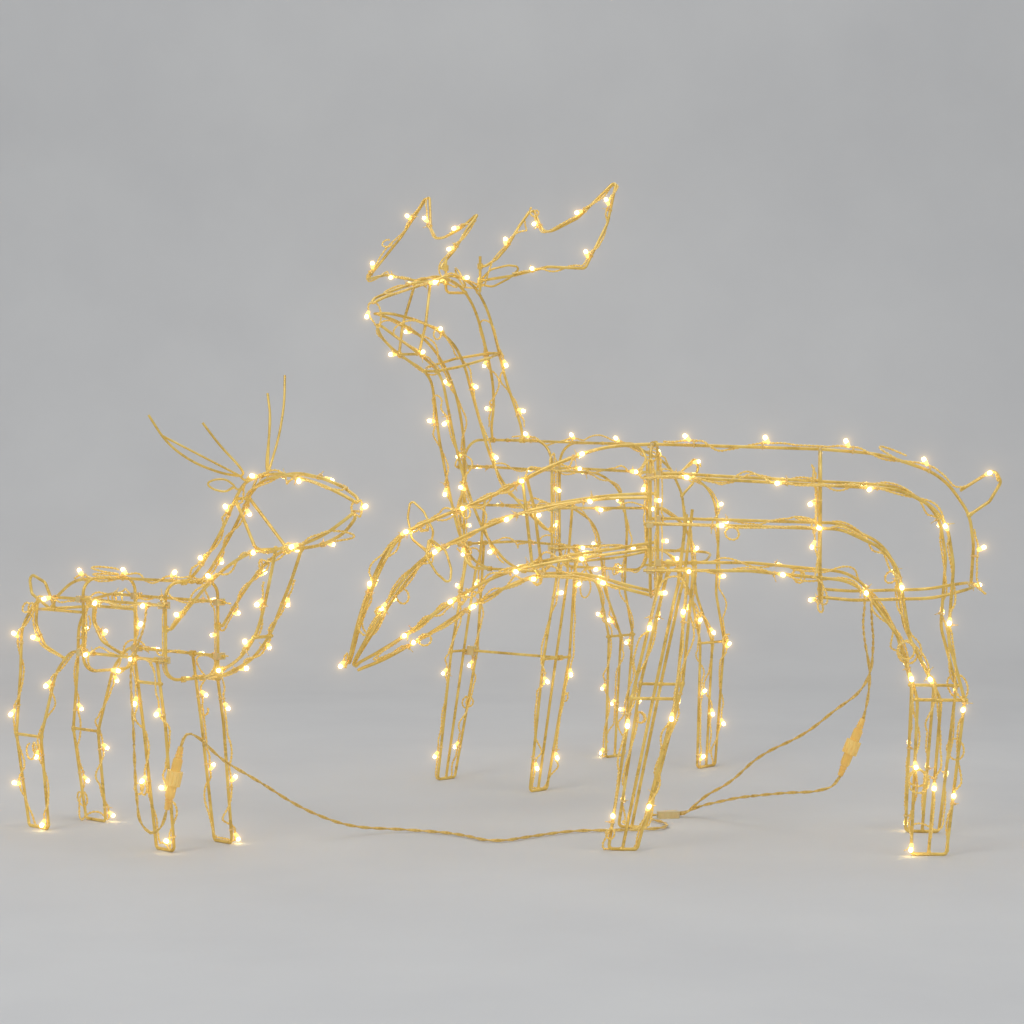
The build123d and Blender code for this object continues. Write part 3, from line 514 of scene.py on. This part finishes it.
ENAMEL = enamel()
# The last number of each sleeve is its painted glow, the lamps' light on the wire painted in.
SLEEVE = sleeved("lamp_wire_sleeve", (0.95, 0.76, 0.26), (0.68, 0.42, 0.08), 650.0, 0.20)
LEAD = sleeved("lead_sleeve", (0.90, 0.66, 0.19), (0.60, 0.36, 0.07), 380.0, 0.08)
LENS = lit_lens()
# The last number of the husks, ties and couplings is a painted glow for the lamps' light on them.
HUSK = moulded("lamp_husk", (0.92, 0.58, 0.14), (0.98, 0.74, 0.26), 0.2, 0.25, 1.0)
TIE = moulded("tie_plastic", (0.84, 0.58, 0.20), (0.94, 0.74, 0.34), 0.2, 0.3, 0.08)
CLIP = moulded("clip_plastic_look", (0.84, 0.64, 0.28), (0.94, 0.78, 0.42), 0.2)
COUPLING = moulded("coupling_body_look", (0.80, 0.50, 0.12), (0.94, 0.66, 0.20), 0.15, 0.22, 0.12)
COLLAR = moulded("coupling_collar_look", (0.86, 0.58, 0.16), (0.96, 0.74, 0.28), 0.15, 0.25, 0.12)
BRASS = brass()
FINISH = {
    "frame_paint": ENAMEL, "lamp_lens": LENS, "string_sleeve": SLEEVE, "cord_sleeve": LEAD,
    "clip_plastic": CLIP, "coupling_body": COUPLING, "coupling_collar": COLLAR, "contact_brass": BRASS,
}
for part in frame["record"]["subparts"]:
    mesh = frame["nodes"][part["node"]].data
    for slot_number in range(len(mesh.materials)):
        mesh.materials[slot_number] = FINISH[part["material_slot"]]


# ------------------------------------------------------------ frame wires and lamps, read from the model

BODIES = frame["record"]["behaviour"]["bodies"]
NODE_BODY = {name: body for body, members in BODIES.items() for name in members}


def frame_nodes(figure):
    """The nodes of a figure that are bent frame wire."""
    words = ("side_frame", "centre_frame", "front_leg", "neck_and_head_frame", "antler", "antlers")
    return [n for n in frame["nodes"] if n.startswith(figure + "_") and n.endswith(words)]


def wire_radius(name):
    return FINE_R["fawn_antlers"] if name == "fawn_antlers" else FRAME_R


WIRES = {name: [even(line, WIRE_STEP) for line in rods(name, wire_radius(name))]
         for figure in FIGURES for name in frame_nodes(figure)}


def finder(points):
    """Tree that finds the nearest of many points."""
    tree = KDTree(len(points))
    for i, p in enumerate(points):
        tree.insert(p, i)
    tree.balance()
    return tree


STRINGS = {figure: [even(line) for line in rods(figure + "_light_string", STRING_R)]
           for figure in FIGURES}


def nearest(points, spot):
    """The one of many points that lies nearest to a spot."""
    return points[int(np.argmin(np.linalg.norm(points - spot, axis=1)))]


class Lamp:
    """One lamp: where it stands on its wire, which way it points, and its body."""

    def __init__(self, line, name):
        wire = np.concatenate(STRINGS[name.split("_")[0]])
        spots = [nearest(wire, end) for end in (line[0], line[-1])]
        gaps = [float(np.linalg.norm(spot - end)) for spot, end in zip(spots, (line[0], line[-1]))]
        self.spot, lens = (spots[0], line[-1]) if gaps[0] < gaps[1] else (spots[1], line[0])
        self.way = unit(lens - self.spot)
        self.body, self.node = NODE_BODY[name], name
        self.along = square(np.array([rng.uniform(-1, 1) for _ in range(3)]), self.way)
        self.tight = False       # close to a part that moves past it


LAMPS = [Lamp(line, name) for name in sorted(frame["nodes"]) if name.endswith("_lamps")
         for line in rods(name, LAMP_R, 0.9)]


# ------------------------------------------------------------ lamp strings

def others(figure):
    """For each body of a figure, a finder over the frame wires of its other bodies."""
    bodies = {NODE_BODY[name] for name in frame_nodes(figure)}
    found = {}
    for body in bodies:
        lines = [line for name in frame_nodes(figure) if NODE_BODY[name] != body for line in WIRES[name]]
        found[body] = finder(np.concatenate(lines))
    return found


class Run:
    """One run of lamp wire beside a frame wire, with its lamps in order."""

    def __init__(self, figure, line, wires, rest):
        self.line = line
        self.size = length(self.line)
        self.lamps = []
        for lamp in LAMPS:
            if not lamp.node.startswith(figure):
                continue
            gap = np.linalg.norm(self.line - lamp.spot, axis=1)
            i = int(np.argmin(gap))
            if gap[i] < ON_RUN:
                step = self.line[min(i + 2, len(self.line) - 1)] - self.line[max(i - 2, 0)]
                lamp.along = square(step, lamp.way)
                self.lamps.append((i * self.size / (len(self.line) - 1), lamp))
        self.lamps.sort(key=lambda pair: pair[0])
        self.body = self.lamps[0][1].body if self.lamps else ROOT
        core = np.array([wires.find(p)[0] for p in self.line])
        self.core = softened(core, 9)
        self.away = self.line - self.core
        clear = np.array([rest[self.body].find(p)[2] for p in self.line])
        for at, lamp in self.lamps:
            lamp.tight = clear[int(round(at / self.size * (len(clear) - 1)))] < STIFF_LAMP
        self.loose = softened(np.clip((clear - HUG) / LOOSEN, 0, 1)[:, None], 9)[:, 0]

    def wound(self):
        """The wire wrapped round its frame wire, out on the lamp side at every lamp."""
        way = headings(self.line)
        s = np.linspace(0, self.size, len(self.line))
        marks = [0.0] + [at for at, _ in self.lamps] + [self.size]
        turns, angles = 0.0, [0.0]
        for i in range(1, len(marks)):
            inner = 1 < i < len(marks) - 1
            wide = marks[i] - marks[i - 1] > WIND_OVER
            turns += rng.choice([1, 1, -1, 0, 1]) if inner and wide else 0
            angles.append(turns * 2 * math.pi)
        keep = [0] + [i for i in range(1, len(marks)) if marks[i] > marks[i - 1] + 1e-6]
        phase = np.interp(s, [marks[i] for i in keep], [angles[i] for i in keep])
        gap = np.full(len(s), 1.0)
        if self.lamps:
            gap = np.min([np.abs(s - at) for at, _ in self.lamps], axis=0)
        free = np.clip((gap - 4 * MM) / (16 * MM), 0, 1)
        free = free * free * (3 - 2 * free) * self.loose
        wave = sum(rng.uniform(0.4, 1.0) * np.sin(s / (rng.uniform(8, 26) * MM) + rng.uniform(0, 6))
                   for _ in range(3))
        bulge = np.clip(wave, 0, 3)
        far = 3.9 * MM + rng.uniform(1.8, 6.5) * MM * bulge
        out = np.array([square(a, t) for a, t in zip(self.away, way)])
        side = np.cross(way, out)
        phase = phase + 0.5 * free * np.sin(s / (33 * MM) + rng.uniform(0, 6))
        ring = np.cos(phase)[:, None] * out + np.sin(phase)[:, None] * side
        free = free[:, None]
        line = (1 - free) * self.line + free * (self.core + far[:, None] * ring)
        line[:, 2] = np.maximum(line[:, 2], 1.9 * MM)
        return line


def lamp_shape(soup, lamp):
    """Husk that grips the wire, and the lens in it, lying over along the wire."""
    tilt = square(np.array([rng.uniform(-1, 1) for _ in range(3)]), lamp.way)
    lie = rng.choice([-1, 1]) * rng.uniform(0.3, 1.5)
    lean, slim, short = (0.04, 0.9, 0.76) if lamp.tight else (1.0, 1.0, 1.0)
    way = unit(lamp.way + (lamp.along * lie + tilt * rng.uniform(0.05, 0.35)) * lean)
    way = unit(np.array([way[0], way[1], max(way[2], (4.5 * MM - lamp.spot[2]) / (12 * MM))]))
    foot = lamp.spot - way * 1.0 * MM
    husk = [(0.0, 1.5), (0.4, 2.1), (1.8, 2.35), (2.6, 2.35), (2.9, 2.0)]
    husk += [(3.3, 2.0), (3.6, 2.5), (6.4, 2.75), (6.9, 2.6)]
    soup.turned(foot, way, [(h * short * MM, r * slim * MM) for h, r in husk], 12, 1)
    lens = [(6.3, 2.2), (7.0, 2.45), (9.6, 2.5)]
    lens += [(9.6 + 2.3 * math.sin(a), 2.5 * math.cos(a)) for a in np.linspace(0.25, 1.45, 6)]
    soup.turned(foot, way, [(h * short * MM, r * slim * MM) for h, r in lens], 12, 0)


def tie(soup, core, out, along):
    """Small plastic tie round frame wire and lamp wire, with its cut tail standing off."""
    side = np.cross(along, out)
    reach = TIE_REACH
    high, wide = reach / 2 + 1.6 * MM, 2.75
    middle = core + out * (reach / 2 - 1.0 * MM)
    band = np.array([middle + out * math.cos(a) * high + side * math.sin(a) * wide * MM
                     for a in np.linspace(0, 2 * math.pi, 26)])
    for shift in (-0.55, 0.55):
        soup.tube(band + along * shift * MM, 0.55 * MM, 5, 0)
    knot = core + out * reach * 0.5 + side * 3.1 * MM
    shape = [(0, 1.3 * MM), (0.4 * MM, 1.7 * MM), (2.2 * MM, 1.7 * MM), (2.6 * MM, 1.2 * MM)]
    soup.turned(knot - side * 1.2 * MM, side, shape, 8, 0)
    tail = unit(side * 0.8 + out * rng.uniform(-0.2, 0.9) + along * rng.uniform(-0.5, 0.5))
    stub = np.array([knot + tail * t * MM for t in (0.0, 2.5, rng.uniform(4.5, 8.0))])
    soup.tube(stub, 0.6 * MM, 5, 0)


def nearest_end(point, ends, skip):
    """Distance and number of the nearest wire end, leaving some out."""
    best = None
    for i, (spot, _) in enumerate(ends):
        gap = float(np.linalg.norm(spot - point))
        if i not in skip and (best is None or gap < best[0]):
            best = (gap, i)
    return best


def part_name(figure, kind, body):
    """Name of a figure's added piece on a body, such as doe_ties_head."""
    return f"{figure}_{kind}_{body.replace(figure + '_', '')}"


def wire_tree(figure):
    """Nearest-point finder over the frame wires of a figure."""
    return finder(np.concatenate([line for name in frame_nodes(figure) for line in WIRES[name]]))


def loops(soup, spot, facing, radius, turns):
    """Slack lamp wire taken up in loose hanging loops."""
    facing = unit(facing)
    up = square(np.array([0.1, 0.0, 1.0]) if abs(facing[2]) < 0.9 else np.array([1.0, 0.2, 0.0]), facing)
    side = np.cross(facing, up)
    lean = rng.uniform(-0.7, 0.7)
    down = -(math.cos(lean) * up + math.sin(lean) * side)
    across = np.cross(facing, down)
    t = np.linspace(0, 2 * math.pi * turns, int(60 * turns))
    wide = radius * (0.82 + 0.14 * np.sin(t * 0.37 + rng.uniform(0, 6)))
    tall = radius * (0.95 + 0.16 * np.sin(t * 0.43 + rng.uniform(0, 6)))
    off = 2.2 * MM * np.sin(t * 0.8 + rng.uniform(0, 6)) + 1.1 * MM * t
    line = (spot + np.outer(tall * (1 - np.cos(t)), down) + np.outer(wide * np.sin(t), across)
            + np.outer(off, facing))
    line[:, 2] = np.maximum(line[:, 2], 1.8 * MM)
    twisted(soup, line)


def jumper(figure, body, lines, ends):
    """Lamp wire that crosses from a moving part to the part it hangs on, left attached to neither part.
    """
    parent = next(j["parent"] for j in frame["joints"] if j["child"] == body)
    trunk = np.concatenate(lines[parent])
    best = None
    for spot, way in ends[body]:
        gap = np.linalg.norm(trunk - spot, axis=1)
        i = int(np.argmin(np.where(gap > JUMP, gap, 1.0)))
        if best is None or gap[i] < best[0]:
            best = (gap[i], i, spot, way)
    _, i, spot, way = best
    start = trunk[i]
    leave = trunk[min(i + 6, len(trunk) - 1)] - start
    soup = Soup()
    twisted(soup, bow(start, leave, spot, way, 0.012, 0.006))
    piece = soup.piece(part_name(figure, "jumper_wire", body), [SLEEVE])
    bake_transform(piece)


def dress(figure):
    """All lamp wire and ties of one figure."""
    wires = wire_tree(figure)
    rest = others(figure)
    runs = [Run(figure, line, wires, rest) for line in STRINGS[figure]]
    strings, bands, ends, lines = {}, {}, {}, {}
    for run in runs:
        soup = strings.setdefault(run.body, Soup())
        line = run.wound()
        lines.setdefault(run.body, []).append(line)
        twisted(soup, line, spread=SNUG + (1 - SNUG) * run.loose)
        ends.setdefault(run.body, []).append((line[0], -unit(line[8] - line[0])))
        ends[run.body].append((line[-1], unit(line[-1] - line[-9])))
        way = headings(run.line)
        for at, _ in run.lamps:
            where = at + TIE_OFF * rng.choice([-1, 1])
            i = int(round(where / run.size * (len(run.line) - 1)))
            if 3 < i < len(run.line) - 4 and run.loose[i] > 0.3:
                out = square(run.away[i], way[i])
                tie(bands.setdefault(run.body, Soup()), run.core[i], out, way[i])
        spare = run.size * rng.uniform(0.6, 1.3) / SLACK_EVERY
        for _ in range(int(round(spare))):
            i = int(rng.uniform(0.1, 0.9) * len(line))
            if run.loose[i] < 1:
                continue
            radius = (rng.uniform(7, 17) if run.body == ROOT else rng.uniform(5, 9)) * MM
            loops(soup, line[i], run.away[i], radius, rng.choice([1, 1, 2]))
    for body, spots in ends.items():
        done = set()
        for i, (spot, way) in enumerate(spots):
            if i in done:
                continue
            found = nearest_end(spot, spots, done | {i})
            if found and found[0] < JOIN:
                done |= {i, found[1]}
                other, other_way = spots[found[1]]
                twisted(strings[body], bow(spot, way, other, other_way, 0.004))
    for body, soup in strings.items():
        piece = soup.piece(part_name(figure, "lamp_wire", body), [SLEEVE], body)
        if body == ROOT:
            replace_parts(piece, figure + "_light_string")
        else:
            jumper(figure, body, lines, ends)
    for body, soup in bands.items():
        soup.piece(part_name(figure, "ties", body), [TIE], body)


def beads(figure):
    """Weld beads wherever two wires of one frame part meet."""
    shape = [(-4.4, 1.9), (-3.0, 2.35), (-1.0, 2.95), (1.2, 2.9), (3.1, 2.3), (4.3, 1.9)]
    soups = {}
    rest = others(figure)
    for name in frame_nodes(figure):
        lines = WIRES[name]
        for i, line in enumerate(lines):
            for other in lines[i + 1:]:
                gap = np.linalg.norm(line[:, None] - other[None], axis=2)
                near = np.flatnonzero(gap.min(1) < WELD_GAP)
                for group in np.split(near, np.flatnonzero(np.diff(near) > 4) + 1):
                    if not len(group):
                        continue
                    a = int(group[np.argmin(gap[group].min(1))])
                    b = int(np.argmin(gap[a]))
                    if rest[NODE_BODY[name]].find(line[a])[2] < WELD_CLEAR:
                        continue
                    way = unit(other[min(b + 1, len(other) - 1)] - other[max(b - 1, 0)])
                    swell = rng.uniform(0.94, 1.1)
                    profile = [(h * MM, r * swell * MM) for h, r in shape]
                    soup = soups.setdefault(NODE_BODY[name], Soup())
                    soup.turned((line[a] + 2 * other[b]) / 3, way, profile, 10, 0)
    for body, soup in soups.items():
        soup.piece(part_name(figure, "weld_beads", body), [ENAMEL], body)


def stems(figure):
    """Short bent wires that hold the ears, and the young deer's antlers, on the head wires."""
    neck = np.concatenate(WIRES[figure + "_neck_and_head_frame"])
    stem_r = 1.35 * MM
    foot = [(0, 1.4 * MM), (1.2 * MM, 2.3 * MM), (2.8 * MM, 2.6 * MM), (4.2 * MM, 1.6 * MM)]
    soup = Soup()
    for name in (figure + "_ears", figure + "_antlers"):
        if name not in frame["nodes"] or name == "stag_antlers":
            continue
        radius = FINE_R.get(name, FINE_R["ears"])
        for line in rods(name, radius):
            root = line[int(np.argmin(line[:, 2]))]
            if name.endswith("ears"):
                root = (line[0] + line[-1]) / 2
            grip = nearest(neck, root)
            way = unit(grip - root)
            middle = (root + grip) / 2 + square(np.array([0.2, 0.3, -1.0]), way) * 1.5 * MM
            hold = softened(even([line[3], root, middle, grip + way * MM], 0.8 * MM), 6)
            soup.tube(hold, stem_r, 8, 0)
            soup.turned(grip - way * 2.6 * MM, way, foot, 10, 0)
            if name.endswith("ears"):
                soup.tube(even([line[0], root, line[-1]], 0.8 * MM), stem_r, 8, 0)
    soup.piece(figure + "_head_stems", [ENAMEL], NODE_BODY[figure + "_ears"])


def lead_finish(still, ties, spot, way):
    """From a cord's free end up to the nearest body wire above it, tied there."""
    still_wires = [lines for name, lines in WIRES.items() if NODE_BODY[name] == ROOT]
    trunk = np.concatenate([line for lines in still_wires for line in lines])
    trunk = trunk[(trunk[:, 2] > spot[2] + 35 * MM)]
    grip = nearest(trunk, spot + np.array([0, 0, 60 * MM]))
    back = unit(spot - grip)
    out = square(back, np.array([0.0, 0.0, 1.0]))
    hold = grip + out * 4.2 * MM
    line = bow(spot - way * 8 * MM, way, hold, back * 0.4 + np.array([0, 0, -1.0]), 0.01)
    twisted(still, line, CORE_R * 1.15, CORE_PITCH * 1.6, 6)
    tie(ties, grip, out, np.array([0.0, 0.0, 1.0]))


def leads():
    """Cords between the figures: two thick cores twisted, the length next to each plug made as a loose
    piece of its own.
    """
    plugs = {which: np.array(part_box(which + "_coupling_plug")).mean(0) for which in ("doe", "fawn")}
    still, ties = Soup(), Soup()
    held = [*plugs.values(), np.array(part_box("lead_splitter")).mean(0)]
    for line in rods("lead_cords", CORD_R):
        line = even(line, WIRE_STEP)
        for spot, way in ((line[0], unit(line[0] - line[5])), (line[-1], unit(line[-1] - line[-6]))):
            free = min(np.linalg.norm(spot - place) for place in held) > CLEAR_OF_PLUG
            if way[2] > 0.2 and spot[2] > 0.15 and free:
                lead_finish(still, ties, spot, way)
        for which, plug in plugs.items():
            ends = [float(np.linalg.norm(line[k] - plug)) for k in (0, -1)]
            if min(ends) < CLEAR_OF_PLUG:
                line = line if ends[0] < ends[1] else line[::-1]
                line = np.concatenate([[line[0] - unit(line[4] - line[0]) * 4 * MM], line])
                cut = min(len(line) - 1, int(SOFT_LEAD / WIRE_STEP))
                soft = Soup()
                twisted(soft, line[:cut + 1], LEAD_CORE_R, LEAD_PITCH, 7)
                piece = soft.piece(which + "_plug_lead", [LEAD])
                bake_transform(piece)
                line = line[cut:]
                break
        if len(line) > 6:
            twisted(still, line, LEAD_CORE_R, LEAD_PITCH, 7)
    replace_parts(still.piece("group_leads", [LEAD], ROOT), "lead_cords")
    ties.piece("group_lead_ties", [TIE], ROOT)


def lamps():
    """Every lamp, one piece for each lamp node."""
    for name in sorted(n for n in frame["nodes"] if n.endswith("_lamps")):
        soup = Soup()
        for lamp in LAMPS:
            if lamp.node == name:
                lamp_shape(soup, lamp)
        piece = soup.piece(name.replace("_lamps", "_lit_lamps"), [LENS, HUSK], NODE_BODY[name])
        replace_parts(piece, name)


for kind in FIGURES:
    dress(kind)
    beads(kind)
    stems(kind)
lamps()
leads()


# ------------------------------------------------------------ studio

def bloom():
    """Soft halo round the lamps."""
    scene = bpy.context.scene
    scene.use_nodes = True
    tree = scene.node_tree
    tree.nodes.clear()
    layers = tree.nodes.new("CompositorNodeRLayers")
    glare = tree.nodes.new("CompositorNodeGlare")
    glare.glare_type = "BLOOM"
    glare.quality = "HIGH"
    glare.inputs["Threshold"].default_value = 1.15
    glare.inputs["Strength"].default_value = 1.6
    glare.inputs["Tint"].default_value = (1.0, 0.86, 0.52, 1.0)
    glare.inputs["Size"].default_value = 0.5
    out = tree.nodes.new("CompositorNodeComposite")
    tree.links.new(layers.outputs["Image"], glare.inputs["Image"])
    tree.links.new(glare.outputs["Image"], out.inputs["Image"])


def studio():
    """Plain pale sweep, seen through from behind, soft lights and the camera."""
    floor_end, bend, wall_top = 1.6, 1.2, 6.0
    profile = [(-6.0, 0.0), (floor_end, 0.0)]
    profile += [(floor_end + bend * math.sin(a), bend - bend * math.cos(a))
                for a in np.linspace(0.1, math.pi / 2, 12)]
    profile += [(2.8, wall_top)]
    verts = [(x, y, z) for y, z in profile for x in (-9.0, 9.0)]
    faces = [(2 * i, 2 * i + 1, 2 * i + 3, 2 * i + 2) for i in range(len(profile) - 1)]
    mesh = bpy.data.meshes.new("sweep")
    mesh.from_pydata(verts, [], faces)
    mesh.polygons.foreach_set("use_smooth", [True] * len(faces))
    made, tree, skin = look("sweep_paper")
    tone = shade(tree, grain(tree, 3.0, 4), [(0.3, (0.60, 0.60, 0.60)), (0.7, (0.64, 0.64, 0.635))])
    tree.links.new(tone, skin.inputs["Base Color"])
    skin.inputs["Roughness"].default_value = 0.9
    side = node(tree, "ShaderNodeNewGeometry")
    clear = node(tree, "ShaderNodeBsdfTransparent")
    mixed = node(tree, "ShaderNodeMixShader")
    tree.links.new(side.outputs["Backfacing"], mixed.inputs[0])
    tree.links.new(skin.outputs[0], mixed.inputs[1])
    tree.links.new(clear.outputs[0], mixed.inputs[2])
    tree.links.new(mixed.outputs[0], tree.nodes["Material Output"].inputs["Surface"])
    mesh.materials.append(made)
    sweep = bpy.data.objects.new("sweep", mesh)
    bpy.context.scene.collection.objects.link(sweep)
    for name, spot, aim, power, size in (
        ("key", (-2.2, -3.2, 3.2), (0, 0, 0.3), 70, 2.2),
        ("fill", (2.8, -2.4, 2.0), (0, 0, 0.3), 25, 2.5),
        ("top", (0.0, 0.6, 3.6), (0, 0, 0), 40, 3.0),
    ):
        light = bpy.data.lights.new(name, "AREA")
        light.energy = power
        light.size = size
        lamp = bpy.data.objects.new(name, light)
        lamp.location = spot
        lamp.rotation_euler = (Vector(aim) - Vector(spot)).to_track_quat("-Z", "Y").to_euler()
        bpy.context.scene.collection.objects.link(lamp)
    world = bpy.data.worlds.new("soft_room")
    world.use_nodes = True
    world.node_tree.nodes["Background"].inputs["Color"].default_value = (0.9, 0.94, 1.0, 1)
    world.node_tree.nodes["Background"].inputs["Strength"].default_value = 0.35
    bpy.context.scene.world = world
    camera = bpy.data.objects.new("camera", bpy.data.cameras.new("camera"))
    camera.data.lens = 97.6
    camera.data.sensor_width = 36.0
    camera.data.clip_end = 40
    camera.location = (0.02429, -3.7492, 0.53)
    camera.rotation_euler = (math.radians(88.0), 0, 0)
    bpy.context.scene.collection.objects.link(camera)
    bpy.context.scene.camera = camera
    bpy.context.scene.view_settings.view_transform = "Standard"
    bloom()


studio()
